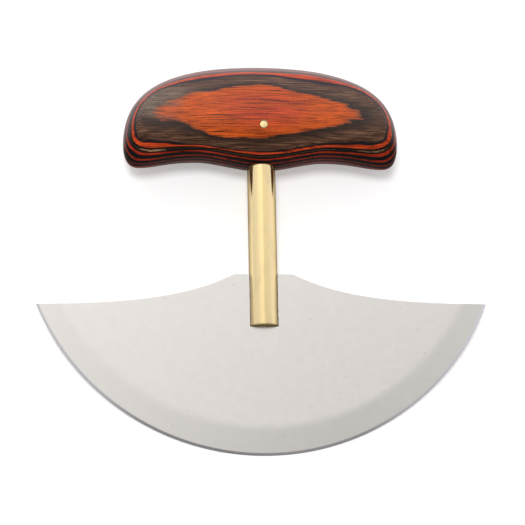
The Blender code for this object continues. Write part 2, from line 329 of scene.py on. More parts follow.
wood = {
    "plyColours": [  # from either face inwards
        (0.475, 0.074, 0.010),
        (0.080, 0.038, 0.024),
        (0.47, 0.052, 0.014),
        (0.016, 0.011, 0.009),
        (0.32, 0.026, 0.010),
        (0.008, 0.007, 0.007),
        (0.24, 0.022, 0.009),
        (0.008, 0.007, 0.007),
        (0.13, 0.016, 0.009),
    ],
    # Every noise is given by the size of its lumps along x, y and z in millimetres, its detail
    # and its shift, and every range by where it starts and ends, then by the values at both
    "wave": ((34, 12, 40), 1.0, 3.1),
    "waveHeight": 0.05 * mm,
    "dips": [  # where more or less was sanded off, in millimetres: x, y, reach along both, depth
        (-50, 62.5, 24, 22, -0.75),
        (-29, 70, 13, 5, -0.24),
        (41, 61, 14, 10, -0.34),
        (17, 69.5, 14, 6, 0.20),
        (-4, 72.5, 14, 7, -0.24),
        (14, 55.5, 16, 6, 0.25),
        (-14, 54, 8, 5, -0.15),
    ],
    "ringWidths": [  # where the first red ring is wider or thinner: x, y, reach, in veneers
        (-16, 51, 18, 8, -0.45),
        (10, 51, 16, 8, -0.22),
        (-42.5, 52.5, 5, 4, -0.22),
        (40.5, 51.5, 9, 5.5, -0.31),
        (16, 74.5, 14, 6.5, 0.28),
    ],
    # Counted in veneers from the face: where that change starts and where it ends
    "widerFrom": (1.2, 1.7),
    "thinnerFrom": (1.6, 2.1),
    "changeEnds": (2.4, 3.0, 1.0, 0.0),
    "lineLoss": 0.65,  # how much thinner the dark line is where the red ring is wider
    # The grain, which wanders a little, in three widths, with specks
    "drift": ((34, 16, 30), 1.0, 2.6),
    "driftHeight": 2.2 * mm,
    "coarse": ((26, 0.80, 1.3), 3.0, 1.3),
    "medium": ((12, 0.34, 0.7), 2.0, 5.9),
    "fine": ((8, 0.20, 0.3), 1.0, 8.8),
    "specks": ((0.45, 0.25, 0.3), 1.0, 9.7),
    "contrast": (0.8, 1.7, 2.1, 1.1),  # of the four
    "pores": (0.36, 0.45, 0.22, 0.0),
    "darkest": 0.12,
    "sheenPatches": [  # painted sheen, lighter patches: x, y, reach, by how much
        (-28, 66, 18, 9, 0.13),
        (27, 67, 16, 9, 0.11),
        (-38, 50, 9, 5, 0.22),
        (0, 76.5, 22, 3.5, 0.22),
    ],
    # The outer veneer: its red blush, its frayed rim, and the brown one that shows through there
    "blushColour": (0.41, 0.044, 0.018),
    "blush": (0, 64, 19, 9),
    "blushGrain": (0.30, 0.60, 0.0, 0.9),
    "fray": ((7.5, 0.60, 30), 3.0, 7.7),
    "frayFrom": (10.2 * mm, 11.0 * mm),
    "frayHeight": (0.12 * mm, 0.40 * mm),
    "sheer": (0 * mm, 0.16 * mm, 0.75, 0.0),
    # The brown veneer under it: tan streaks, a painted sheen and the dark lines on both sides
    "tanColour": (0.19, 0.105, 0.060),
    "tanMedium": (0.52, 0.68, 0.0, 0.45),
    "tanCoarse": (0.52, 0.72, 0.0, 0.15),
    # the painted sheen: an olive haze over the brown veneer at the upper left
    "paintedSheenColour": (0.19, 0.15, 0.115),
    "paintedSheen": (-33, 66.5, 18, 8),
    "paintedSheenShare": 0.5,
    "paintedSheenRim": (0 * mm, 0.25 * mm, 0.3, 0.0),
    "lineColour": (0.010, 0.010, 0.013),
    "lineFade": (0.5, 1.5, 0.92, 0.0),
    "lineOut": (0.18 * mm, 0.34 * mm),  # low down and at the top
    "lineIn": (0.13 * mm, 0.25 * mm),
    "soakColour": (0.016, 0.010, 0.008),
    "soakDepth": (0.62 * mm, 0.40 * mm),
    "soakShare": 0.9,
    # The veneers below: a tan streak in the first dark one, broad under the handle's two ends
    "streakColour": (0.38, 0.21, 0.105),
    "thinStreak": ((12, 9, 30), 1.0, 4.3),
    "thinRange": (0.47, 0.57, 0.0, 0.28),
    "streakGrain": ((3.2, 0.5, 0.6), 2.0, 2.9),
    "streakContrast": 3.2,
    "streaks": [  # x, y, reach, share
        (-36.5, 49, 7, 7, 1.0),
        (37, 49, 8.5, 7, 0.55),
    ],
    "streakRange": (0.35, 1.1),
    "streakStop": (42 * mm, 44 * mm, 1.0, 0.0),
    "streakCore": (0.60 * mm, 0.75 * mm),  # from the glue line, where the thin streak starts
    "streakSpread": 0.30 * mm,  # how much nearer the broad ones come to it
    # How far the black creeps into the red ones
    "bleed": ((14, 6, 30), 1.0, 6.4),
    "bleedRange": (0.35, 0.65, 0.10 * mm, 0.42 * mm),
    "bleedLoss": 0.7,  # at the crest
    "bleedFade": (-0.06 * mm, 0.06 * mm, 0.95, 0.0),
    "underside": (50 * mm, 57 * mm, 1.0, 0.0),
    "undersideShift": 2.9 * mm,  # how far the stack wanders to the front there
    "crest": (65 * mm, 71 * mm),
    "crestShift": 3.4 * mm,
    "shiftReach": 10.0 * mm,
    "roughness": (0.36, 0.3),  # and how much it varies
    "polish": (51.5 * mm, 64 * mm, 0.018, 0.45),  # from the hand-worn underside upwards
    "crestRim": (7.8 * mm, 9.0 * mm, 0.7, 0.0),  # and more along the crest
    "bumpMix": 0.6,  # of the medium grain with the coarse
    "bump": (0.02 * mm, 0.4),
}


def ellipseShare(tree, x, y, ellipse):
    # 1 in the middle of an ellipse given in millimetres by its centre and reach, 0 at its rim
    middleX, middleY, reachX, reachY = [length * mm for length in ellipse]
    acrossX, acrossY = (x - middleX) / reachX, (y - middleY) / reachY
    return smoothStep(tree, acrossX * acrossX + acrossY * acrossY, 0.0, 1.0, 1.0, 0.0)


def woodMaterial():
    material, tree, shader = newMaterial("laminated wood")
    place = knifeCoordinates(tree)
    x, y, z = splitVector(tree, place)
    drift = noiseAt(tree, place, *wood["drift"])
    grainY = y + (drift - 0.5) * wood["driftHeight"]
    along = addNode(tree, "ShaderNodeCombineXYZ", {0: x, 1: grainY, 2: z}).outputs[0]
    grains = [noiseAt(tree, along, *wood[key]) for key in ("coarse", "medium", "fine")]
    grains.append(noiseAt(tree, place, *wood["specks"]))
    coarse, medium = grains[:2]

    # Which veneer shows, counted from the face inwards, and how far its two glue lines are
    wave = noiseAt(tree, place, *wood["wave"])
    under = smoothStep(tree, y, *wood["underside"])
    upper = smoothStep(tree, y, *wood["crest"])
    shift = under * wood["undersideShift"] + upper * wood["crestShift"]
    offMiddle = calc(tree, "ABSOLUTE", z)
    nearMiddle = smoothStep(tree, offMiddle, 0.0, wood["shiftReach"], 1.0, 0.0)
    rise = calc(tree, "ABSOLUTE", z - nearMiddle * shift)
    fray = noiseAt(tree, along, *wood["fray"])
    frayed = smoothStep(tree, rise, *wood["frayFrom"], *wood["frayHeight"])
    rise = rise + (wave - 0.5) * wood["waveHeight"] + (fray - 0.5) * frayed
    for *ellipse, sanded in wood["dips"]:
        rise = rise - ellipseShare(tree, x, y, ellipse) * (sanded * mm)
    stack = len(veneers) / 2 - rise / plyPitch
    lineWidth = 1.0
    for *ellipse, wider in wood["ringWidths"]:
        starts = wood["widerFrom"] if wider > 0 else wood["thinnerFrom"]
        change = smoothStep(tree, stack, *starts) * smoothStep(tree, stack, *wood["changeEnds"])
        share = ellipseShare(tree, x, y, ellipse)
        stack = stack + share * change * wider
        if wider > 0:
            lineWidth = 1 - share * wood["lineLoss"]
    depth = calc(tree, "MAXIMUM", calc(tree, "FLOOR", stack), 0.0)
    toOuter = (stack - depth) * plyPitch
    toInner = plyPitch - toOuter
    toGlue = calc(tree, "MINIMUM", toOuter, toInner)
    isRed = 1 - depth % 2.0

    def onPly(number):
        return calc(tree, "COMPARE", depth, float(number), 0.5)

    def byHeight(low, high):
        # A value that changes from the face up to the crest
        return smoothStep(tree, y, *wood["crest"], low, high)

    colours = wood["plyColours"]
    ramp = addNode(tree, "ShaderNodeValToRGB", {0: (depth + 0.5) / len(colours)})
    ramp.color_ramp.interpolation = "CONSTANT"
    while len(ramp.color_ramp.elements) < len(colours):
        ramp.color_ramp.elements.new(1.0)
    for i, colour in enumerate(colours):
        ramp.color_ramp.elements[i].position = i / len(colours)
        ramp.color_ramp.elements[i].color = (*colour, 1)
    colour = ramp.outputs[0]

    def stain(share, stainColour):
        return mixColours(tree, share, colour, (*stainColour, 1))

    blush = ellipseShare(tree, x, grainY, wood["blush"])
    blush = blush * smoothStep(tree, coarse, *wood["blushGrain"])
    colour = stain(blush * onPly(0), wood["blushColour"])
    tan = smoothStep(tree, medium, *wood["tanMedium"])
    tan = tan + smoothStep(tree, coarse, *wood["tanCoarse"])
    colour = stain(tan * onPly(1), wood["tanColour"])
    sheer = smoothStep(tree, toInner, *wood["sheer"]) * onPly(0)
    colour = stain(sheer, wood["plyColours"][1])
    # Painted sheen: an olive haze over the brown veneer and over the orange one's inner rim
    paintedSheen = ellipseShare(tree, x, y, wood["paintedSheen"])
    sheenOnOvalRim = smoothStep(tree, toInner, *wood["paintedSheenRim"]) * onPly(0)
    colour = stain(paintedSheen * (onPly(1) * wood["paintedSheenShare"] + sheenOnOvalRim), wood["paintedSheenColour"])

    tone = 1.0
    for grain, contrast in zip(grains, wood["contrast"]):
        tone = tone + (grain - 0.5) * contrast
    # Painted sheen: lighter patches on the face and along the top
    for *ellipse, sheenGain in wood["sheenPatches"]:
        tone = tone + ellipseShare(tree, x, y, ellipse) * sheenGain
    tone = tone - smoothStep(tree, medium, *wood["pores"])
    colour = brighten(tree, colour, calc(tree, "MAXIMUM", tone, wood["darkest"]))

    streak = smoothStep(tree, noiseAt(tree, place, *wood["thinStreak"]), *wood["thinRange"])
    streakGrain = noiseAt(tree, place, *wood["streakGrain"])
    knots = 0.0
    for *ellipse, most in wood["streaks"]:
        knot = ellipseShare(tree, x, y, ellipse) + (streakGrain - 0.5) * wood["streakContrast"]
        knot = smoothStep(tree, knot, *wood["streakRange"], 0.0, most)
        knots = calc(tree, "MAXIMUM", knots, knot)
    streak = calc(tree, "MAXIMUM", streak, knots) * under
    streak = streak * smoothStep(tree, calc(tree, "ABSOLUTE", x), *wood["streakStop"])
    core = toGlue + knots * wood["streakSpread"]
    streak = streak * smoothStep(tree, core, *wood["streakCore"])
    colour = stain(streak * onPly(3), wood["streakColour"])
    creep = smoothStep(tree, noiseAt(tree, place, *wood["bleed"]), *wood["bleedRange"])
    creep = creep * (1 - upper * wood["bleedLoss"])
    bled = smoothStep(tree, toGlue - creep, *wood["bleedFade"])
    isInner = calc(tree, "GREATER_THAN", depth, 1.5)
    colour = stain(bled * isInner * isRed, wood["plyColours"][5])

    soaked = smoothStep(tree, toOuter, 0.0, byHeight(*wood["soakDepth"]), wood["soakShare"], 0.0)
    colour = stain(soaked * (1 - paintedSheen) * onPly(1), wood["soakColour"])
    lineOut = byHeight(*wood["lineOut"]) * lineWidth
    line = smoothStep(tree, toInner / lineOut, *wood["lineFade"])
    colour = stain(line * onPly(1), wood["lineColour"])
    line = smoothStep(tree, toOuter / byHeight(*wood["lineIn"]), *wood["lineFade"])
    colour = stain(line * onPly(2), wood["lineColour"])

    feed(tree, colour, shader.inputs["Base Color"])
    roughness, varies = wood["roughness"]
    feed(tree, roughness + (medium - 0.5) * varies, shader.inputs["Roughness"])
    polish = smoothStep(tree, y, *wood["polish"])
    polish = polish + smoothStep(tree, offMiddle, *wood["crestRim"]) * upper
    shader.inputs["Specular IOR Level"].default_value = 0.4
    feed(tree, polish, shader.inputs["Specular IOR Level"])
    addBump(tree, shader, coarse + medium * wood["bumpMix"], *wood["bump"])
    return material


# Metals

steel = {
    "colour": (0.755, 0.72, 0.685),
    "mottle": ((2.6, 2.6, 2.6), 3.0, 2.2),
    "fine": ((0.35, 0.35, 0.35), 1.0, 8.4),
    "contrast": (0.07, 0.05),  # of the two
    "specks": (260.0, 0.035, 0.06, 0.5, 0.0),  # how many a metre, and how they fade
    "speckColour": (0.25, 0.23, 0.22),
    "roughness": (0.24, 0.06),
    "bump": (0.004 * mm, 0.3),
}


def steelMaterial():
    material, tree, shader = newMaterial("satin steel")
    place = knifeCoordinates(tree)
    mottle = noiseAt(tree, place, *steel["mottle"])
    fine = noiseAt(tree, place, *steel["fine"])
    tone = 1 + (mottle - 0.5) * steel["contrast"][0] + (fine - 0.5) * steel["contrast"][1]
    colour = brighten(tree, (*steel["colour"], 1), tone)
    specks = specksAt(tree, place, *steel["specks"])
    colour = mixColours(tree, specks, colour, (*steel["speckColour"], 1))
    finishMetal(tree, shader, colour, mottle, *steel["roughness"])
    addBump(tree, shader, fine, *steel["bump"])
    return material


honed = {
    "colour": (0.44, 0.425, 0.438),
    "marks": ((0.5, 0.5, 0.5), 2.0, 4.4),
    "contrast": 0.3,
    "paintedReflection": [  # painted reflection, lighter stretches of the bevel: from and to which x, by how much
        (-20 * mm, 10 * mm, 0.38),
        (31 * mm, 49 * mm, 0.56),
        (-37 * mm, -57 * mm, 0.52),
    ],
    "roughness": (0.25, 0.1),
}


def honedMaterial():
    material, tree, shader = newMaterial("honed edge")
    place = knifeCoordinates(tree)
    x = splitVector(tree, place)[0]
    marks = noiseAt(tree, place, *honed["marks"])
    tone = 1 + (marks - 0.5) * honed["contrast"]
    # Painted reflection: the bevel is lighter over some stretches along x
    for start, end, paintedReflection in honed["paintedReflection"]:
        tone = tone + smoothStep(tree, x, start, end) * paintedReflection
    colour = brighten(tree, (*honed["colour"], 1), tone)
    finishMetal(tree, shader, colour, marks, *honed["roughness"])
    return material


brass = {
    "colour": (0.85, 0.66, 0.335),
    # the colour of the tarnish, also used for the painted shade along the stem's sides
    "tarnishAndShade": (0.44, 0.36, 0.27),
    "clouds": ((3, 9, 3), 2.0, 6.1),
    "cloudRange": (0.5, 0.8, 0.0, 0.25),
    "paintedSideShade": (0.72 * stemRadius, stemRadius, 0.0, 0.5),  # painted shade towards the stem's sides
    "specks": (330.0, 0.03, 0.06, 0.6, 0.0),
    "speckColour": (0.2, 0.13, 0.06),
    "edgeTint": (0.30, 0.28, 0.24),
    "scratches": ((2.5, 0.08, 2.5), 1.0, 9.2),
    "roughness": (0.13, 0.08),
}


def brassMaterial():
    material, tree, shader = newMaterial("polished brass")
    place = knifeCoordinates(tree)
    clouds = noiseAt(tree, place, *brass["clouds"])
    sides = calc(tree, "ABSOLUTE", splitVector(tree, place)[0])
    # Darker towards the stem's sides as painted shade, and in clouds as tarnish
    tarnishAndShadeShare = smoothStep(tree, sides, *brass["paintedSideShade"])
    tarnishAndShadeShare = tarnishAndShadeShare + smoothStep(tree, clouds, *brass["cloudRange"])
    colour = mixColours(tree, tarnishAndShadeShare, (*brass["colour"], 1), (*brass["tarnishAndShade"], 1))
    specks = specksAt(tree, place, *brass["specks"])
    colour = mixColours(tree, specks, colour, (*brass["speckColour"], 1))
    scratches = noiseAt(tree, place, *brass["scratches"])
    finishMetal(tree, shader, colour, scratches, *brass["roughness"])
    shader.inputs["Specular Tint"].default_value = (*brass["edgeTint"], 1)
    return material


# The handle

handle = {
    "standoff": 36.2 * mm,  # from the blade's shoulder up to the nose
    "widestRise": 8.8 * mm,
    "lobeInset": 4.7 * mm,
    "lobeRise": 0.7 * mm,
    "archRise": 3.1 * mm,
    "archOffset": 2.2 * mm,
    "spineRise": 16.7 * mm,
    "spineInset": 24.9 * mm,
    "fallAtEnds": 2.7 * mm,
    "fallAtEdge": 5.1 * mm,
    "rolls": [6.6 * mm, 6.3 * mm, 10.3 * mm, 5.2 * mm, 5.5 * mm],  # top, end, lobe, arch, nose
    "pulls": [(0.67, 0.68), (0.56, 0.76), (0.30, 0.55), (0.25, 0.30)],
    "curvePoints": 300,
    "spineColumns": 90,
    "endColumns": 130,
    "rows": 129,
    "rollShare": 0.55,
    "boreRoom": 0.3 * mm,
    "boreSides": 128,
    "pinRoom": 0.12 * mm,
    "cutBelow": 10 * mm,  # how far the bore's cutter starts below the nose
    "cutBeyond": 1 * mm,
}


def handleHalfOutline(nose):
    # The right half of the outline from its top to its nose, and the width of the roll there
    top = Vector((0, handleHigh.y))
    widest = Vector((handleHigh.x, nose + handle["widestRise"]))
    lobe = Vector((handleHigh.x - handle["lobeInset"], nose + handle["lobeRise"]))
    archX = (lobe.x + stemRadius) / 2 - handle["archOffset"]
    arch = Vector((archX, nose + handle["archRise"]))
    stops = [top, widest, lobe, arch, Vector((0, nose))]
    leaving = [level, upright, level, level]
    arriving = [upright, level, level, level]
    rolls = handle["rolls"]
    points = []
    widths = []
    for i, pulls in enumerate(handle["pulls"]):
        start, end = stops[i], stops[i + 1]
        startPull = start + pulls[0] * (end - start) * leaving[i]
        endPull = end - pulls[1] * (end - start) * arriving[i]
        points += bezierPoints(start, startPull, endPull, end, handle["curvePoints"])
        for step in range(handle["curvePoints"]):
            ease = (1 - math.cos(math.pi * step / handle["curvePoints"])) / 2
            widths.append(rolls[i] + (rolls[i + 1] - rolls[i]) * ease)
    points.append(stops[-1])
    widths.append(rolls[-1])
    return np.array(points), np.array(widths)


def handleColumns(nose, halfSpine):
    # Points right round the outline with the roll's width. Over the spine, those above and
    # below it share their x, so that the faces meet there
    points, widths = handleHalfOutline(nose)
    x, y = points.T
    widest = int(np.argmax(x))
    table = np.column_stack([x, y, widths])
    above, below = table[:widest], table[:widest:-1]
    spine = np.linspace(0, halfSpine, handle["spineColumns"] + 1)

    def along(part):
        heights, rolls = [np.interp(spine, part[:, 0], part[:, k]) for k in (1, 2)]
        return np.column_stack([spine, heights, rolls])

    upper, lower = along(above), along(below)
    end = np.vstack([upper[-1:], table[x > halfSpine], lower[-1:]])
    steps = np.hypot(*np.diff(end[:, :2], axis=0).T)
    length = np.concatenate([[0], np.cumsum(steps)])
    stops = np.linspace(0, length[-1], handle["endColumns"] + 1)[1:-1]
    end = np.column_stack([np.interp(stops, length, end[:, k]) for k in range(3)])
    right = np.vstack([upper, end, lower[::-1]])
    left = right[1:-1][::-1] * (-1, 1, 1)
    return np.vstack([right, left])


def outlineCurve(columns):
    curve = bpy.data.curves.new("handle outline", "CURVE")
    curve.dimensions = "3D"
    spline = curve.splines.new("POLY")
    spline.points.add(len(columns) - 1)
    for point, (x, y, roll) in zip(spline.points, columns):
        point.co = (x, y, 0, 1)
        point.radius = roll
    spline.use_cyclic_u = True
    return linkObject("handle outline", curve)


def sampleCurve(tree, curve, kind, field, index):
    node = addNode(tree, "GeometryNodeSampleIndex", data_type=kind, domain="POINT")
    feed(tree, curve, node.inputs["Geometry"])
    feed(tree, field, node.inputs["Value"])
    feed(tree, index, node.inputs["Index"])
    return node.outputs[0]


def handleTree():
    # Lays a grid over the handle: a column for each point of the outline, and rows from the
    # spine of one face over the rolled edge to the spine of the other
    tree, given = newGeometryTree("crowned handle", {
        "Outline": "Object",
        "Columns": "Int",
        "Rows": "Int",
        "Roll share": "Float",
        "Crown": "Float",
        "Fall at ends": "Float",
        "Fall at edge": "Float",
        "Half width": "Float",
        "Top": "Float",
        "Spine": "Float",
        "Half spine": "Float",
        "Material": "Material",
    })
    value = {label: NodeValue(tree, socket) for label, socket in given.items()}
    outline = addNode(tree, "GeometryNodeObjectInfo", {"Object": given["Outline"]})
    curve = outline.outputs["Geometry"]
    grid = addNode(tree, "GeometryNodeMeshGrid", {
        "Size X": 1.0,
        "Size Y": 1.0,
        "Vertices X": value["Columns"] + 1,
        "Vertices Y": given["Rows"],
    })
    index = NodeValue(tree, tree.nodes.new("GeometryNodeInputIndex").outputs[0])
    row = index % value["Rows"]
    column = calc(tree, "FLOOR", index / value["Rows"]) % value["Columns"]
    position = tree.nodes.new("GeometryNodeInputPosition").outputs[0]
    radius = tree.nodes.new("GeometryNodeInputRadius").outputs[0]
    edge = sampleCurve(tree, curve, "FLOAT_VECTOR", position, column)
    fullRoll = NodeValue(tree, sampleCurve(tree, curve, "FLOAT", radius, column))
    edgeX, edgeY, _ = splitVector(tree, edge)

    halfSpine = value["Half spine"]
    startX = calc(tree, "MINIMUM", calc(tree, "MAXIMUM", edgeX, 0 - halfSpine), halfSpine)
    startY = value["Spine"]
    acrossX, acrossY = startX - edgeX, startY - edgeY
    length = calc(tree, "SQRT", acrossX * acrossX + acrossY * acrossY)
    roll = calc(tree, "MINIMUM", fullRoll, length)

    side = row / (value["Rows"] - 1) * 2 - 1
    inwards = calc(tree, "ABSOLUTE", side)
    turned = calc(tree, "MINIMUM", inwards / value["Roll share"], 1.0) * (math.pi / 2)
    beyond = calc(tree, "MAXIMUM", inwards - value["Roll share"], 0.0) / (1 - value["Roll share"])
    distance = roll * (1 - calc(tree, "COSINE", turned)) + (length - roll) * beyond
    share = distance / length
    x = edgeX + acrossX * share
    y = edgeY + acrossY * share
    outwards = x / value["Half width"]
    upwards = (y - startY) / (value["Top"] - startY)
    fall = value["Fall at ends"] * outwards * outwards + value["Fall at edge"] * upwards * upwards
    crown = value["Crown"] - fall
    z = calc(tree, "SIGN", side) * crown * calc(tree, "SINE", turned)

    place = addNode(tree, "ShaderNodeCombineXYZ", {0: x, 1: y, 2: z})
    moved = addNode(tree, "GeometryNodeSetPosition", {
        "Geometry": grid.outputs["Mesh"],
        "Position": place.outputs[0],
    })
    merged = addNode(tree, "GeometryNodeMergeByDistance", {
        "Geometry": moved.outputs[0],
        "Distance": 2 * weldDistance,
    })
    endGeometryTree(tree, merged.outputs[0], given["Material"])
    return tree


def makeHandle(material):
    nose = shoulderTop + handle["standoff"]
    halfSpine = handleHigh.x - handle["spineInset"]
    columns = handleColumns(nose, halfSpine)
    curve = outlineCurve(columns)
    thing = linkObject("handle_laminate", bpy.data.meshes.new("handle_laminate"))
    thing = runTree(thing, handleTree(), {
        "Outline": curve,
        "Columns": len(columns),
        "Rows": handle["rows"],
        "Roll share": handle["rollShare"],
        "Crown": handleHigh.z,
        "Fall at ends": handle["fallAtEnds"],
        "Fall at edge": handle["fallAtEdge"],
        "Half width": handleHigh.x,
        "Top": handleHigh.y,
        "Spine": nose + handle["spineRise"],
        "Half spine": halfSpine,
        "Material": material,
    })
    bpy.data.objects.remove(curve, do_unlink=True)
    boreRadius = stemRadius + handle["boreRoom"]
    boreEnds = (nose - handle["cutBelow"], stemHigh.y + handle["boreRoom"])
    boreProfile = [(boreRadius, end) for end in boreEnds]
    bore = meshObject("bore cutter", turnedShape(boreProfile, handle["boreSides"], "Y"))
    holeRadius = pin["radius"] + handle["pinRoom"]
    holeEnds = (handleLow.z - handle["cutBeyond"], handleHigh.z + handle["cutBeyond"])
    holeProfile = [(holeRadius, end) for end in holeEnds]
    hole = meshObject("pin hole cutter", turnedShape(holeProfile, pin["sides"]))
    hole.location.y = pinLevel
    return cutOut(thing, bore, hole)


# The pin

pin = {
    "radius": 1.25 * mm,
    "dome": 0.06 * mm,
    "round": 0.08 * mm,
    "steps": 6,
    "sides": 64,
}


def makePin(material):
    reach = pinHigh.z
    rim = pin["radius"] - pin["round"]
    profile = []
    for i in range(pin["steps"] + 1):
        share = i / pin["steps"]
        profile.append((rim * share + weldDistance, reach - pin["dome"] * share ** 2))
    for i in range(1, pin["steps"] + 1):
        turn = math.pi / 2 * i / pin["steps"]
        radius = pin["radius"] - pin["round"] * (1 - math.sin(turn))
        profile.append((radius, reach - pin["dome"] - pin["round"] * (1 - math.cos(turn))))
    profile += [(radius, -along) for radius, along in reversed(profile)]
    shape = turnedShape(profile, pin["sides"])
    bmesh.ops.translate(shape, verts=shape.verts, vec=(0, pinLevel, 0))
    return meshObject("pin_brass", shape, material)


# The stem

stem = {
    "round": 0.32 * mm,
    "roundSteps": 5,
    "slotRoom": 0.05 * mm,
    "slotBelow": 5 * mm,  # how far the slot's cutter starts below the stem
    "sides": 160,
}


def makeStem(material):
    # Extra rings beside the rounding keep the smooth shading off the flat end and the wall
    end = []
    for i in range(stem["roundSteps"] + 1):
        turn = math.pi / 2 * i / stem["roundSteps"]
        radius = stemRadius - stem["round"] * (1 - math.sin(turn))
        end.append((radius, stemLow.y + stem["round"] * (1 - math.cos(turn))))
    face = [(stemRadius * 0.5, stemLow.y), (stemRadius - 1.6 * stem["round"], stemLow.y)]
    wall = [(stemRadius, stemLow.y + 2 * stem["round"]), (stemRadius, stemHigh.y)]
    thing = meshObject("stem_brass", turnedShape(face + end + wall, stem["sides"], "Y"), material)
    shape = bmesh.new()
    box = bmesh.ops.create_cube(shape, size=1)["verts"]
    top = shoulderTop + stem["slotRoom"]
    bottom = stemLow.y - stem["slotBelow"]
    width = bladeHigh.z - bladeLow.z + 2 * stem["slotRoom"]
    bmesh.ops.scale(shape, verts=box, vec=(4 * stemRadius, top - bottom, width))
    bmesh.ops.translate(shape, verts=box, vec=(0, (top + bottom) / 2, 0))
    return cutOut(thing, meshObject("slot cutter", shape))


# The blade

blade = {
    "cornerRound": 0.15 * mm,
    "land": 0.06 * mm,
    "bevelWidth": 0.9 * mm,
    "bevelHalf": 0.31 * mm,
    "grindWidth": 9.3 * mm,
    "grindAtTip": 7.1 * mm,
    "grindBlend": 1.3 * mm,
    "shoulderWidth": 19.8 * mm,
    "shoulderRound": 1.6 * mm,
    "flankReach": 0.23,
    "flankDip": 0.72,
    "flankTail": 0.49,
    "flankSteps": 110,
    "cornerSteps": 12,
    "shoulderSteps": 6,
    "cornerRows": 4,
    "blendRows": 8,
    "rowBeforeBevel": 0.1 * mm,  # keeps the bevel's upper line crisp
}


def bladeTopEdge():
    # The upper edge from the right tip to the middle of the shoulder
    tip = Vector((halfBlade, 0))
    corner = Vector((blade["shoulderWidth"] / 2, shoulderTop))
    span = (tip.x - corner.x) * level
    dip = corner + blade["flankReach"] * span - blade["flankDip"] * shoulderTop * upright
    start = corner + (dip - corner).normalized() * blade["shoulderRound"]
    flatStart = corner - blade["shoulderRound"] * level
    middle = Vector((0, shoulderTop))
    points = bezierPoints(tip, tip - blade["flankTail"] * span, dip, start, blade["flankSteps"])
    points += bezierPoints(start, corner, corner, flatStart, blade["cornerSteps"])
    steps = blade["shoulderSteps"]
    return points + [flatStart.lerp(middle, i / steps) for i in range(steps + 1)]


def arcBelow(radius, centre, endX, steps):
    # An arc round (0, centre) from x = endX down to its bottom
    sweep = math.asin(endX / radius)
    angles = [sweep * (1 - i / steps) for i in range(steps + 1)]
    return [Vector((radius * math.sin(a), centre - radius * math.cos(a))) for a in angles]


def halfThickness(distance, flatLength, grindLength):
    # Half the blade's thickness at a distance from the top edge along a section
    flat, bevel = bladeHigh.z, blade["bevelHalf"]
    blend = blade["grindBlend"]
    past = distance - flatLength
    slope = (flat - bevel) / (grindLength - blade["bevelWidth"])
    if past < -blend:
        half = flat
    elif past < blend:
        half = flat - slope * (past + blend) ** 2 / (4 * blend)
    else:
        half = flat - slope * past
    left = grindLength - past
    if left < blade["bevelWidth"]:
        half = blade["land"] + (bevel - blade["land"]) * left / blade["bevelWidth"]
    corner = blade["cornerRound"]
    if distance < corner:
        half -= corner * (1 - math.sqrt(max(0.0, 1 - (1 - distance / corner) ** 2)))
    return half


def bladeSection(high, ground, sharp):
    # One section as (point, half thickness) pairs from the top edge down to the cutting edge
    flatLength = (ground - high).length
    grindLength = (sharp - ground).length
    corner, blend, bevel = blade["cornerRound"], blade["grindBlend"], blade["bevelWidth"]
    whole = flatLength + grindLength
    corners = [i / blade["cornerRows"] for i in range(blade["cornerRows"] + 1)]
    blends = [2 * i / blade["blendRows"] - 1 for i in range(blade["blendRows"] + 1)]
    distances = [corner * (1 - math.cos(math.pi / 2 * share)) for share in corners]
    distances += [2 * corner, flatLength - 2 * blend]
    distances += [flatLength + blend * share for share in blends]
    distances += [flatLength + 2 * blend, whole - bevel - blade["rowBeforeBevel"]]
    distances += [whole - bevel, whole]
    section = []
    reached = 0.0
    for distance in distances:
        reached = min(max(reached, distance), whole)
        if reached < flatLength:
            point = high.lerp(ground, reached / flatLength)
        else:
            point = ground.lerp(sharp, (reached - flatLength) / grindLength)
        section.append((point, halfThickness(reached, flatLength, grindLength)))
    return section


def makeBlade(material, edgeMaterial):
    depth = -bladeLow.y
    edgeRadius = (halfBlade ** 2 + depth ** 2) / (2 * depth)
    edgeCentre = Vector((0, edgeRadius - depth))
    inset = blade["grindAtTip"]
    top = [p for p in bladeTopEdge() if edgeRadius - (p - edgeCentre).length >= inset]
    steps = len(top) - 1
    grindBottom = blade["grindWidth"] - depth
    rise = top[0].y - grindBottom
    grindRadius = (top[0].x ** 2 + rise ** 2) / (2 * rise)
    grind = arcBelow(grindRadius, grindBottom + grindRadius, top[0].x, steps)
    edge = arcBelow(edgeRadius, edgeCentre.y, halfBlade, steps)
    loops = []
    for high, ground, sharp in zip(top, grind, edge):
        section = bladeSection(high, ground, sharp)
        front = [(p.x, p.y, half) for p, half in section]
        back = [(p.x, p.y, -half) for p, half in reversed(section)]
        loops.append(front + back)
    loops += [[(-x, y, z) for x, y, z in loop] for loop in reversed(loops[:-1])]
    shape = bmesh.new()
    rings = [[shape.verts.new(point) for point in loop] for loop in loops]
    count = len(loops[0])
    edgeStrips = (count // 2 - 2, count // 2 - 1, count // 2)
    for lower, upper in zip(rings, rings[1:]):
        for i in range(count):
            j = (i + 1) % count
            face = shape.faces.new((lower[i], lower[j], upper[j], upper[i]))
            face.material_index = 1 if i in edgeStrips else 0
    shape.faces.new(rings[0])
    shape.faces.new(rings[-1])
    thing = meshObject("blade_steel", shape, material)
    thing.data.materials.append(edgeMaterial)
    return thing


# The solder that shows along the stem where it straddles the blade

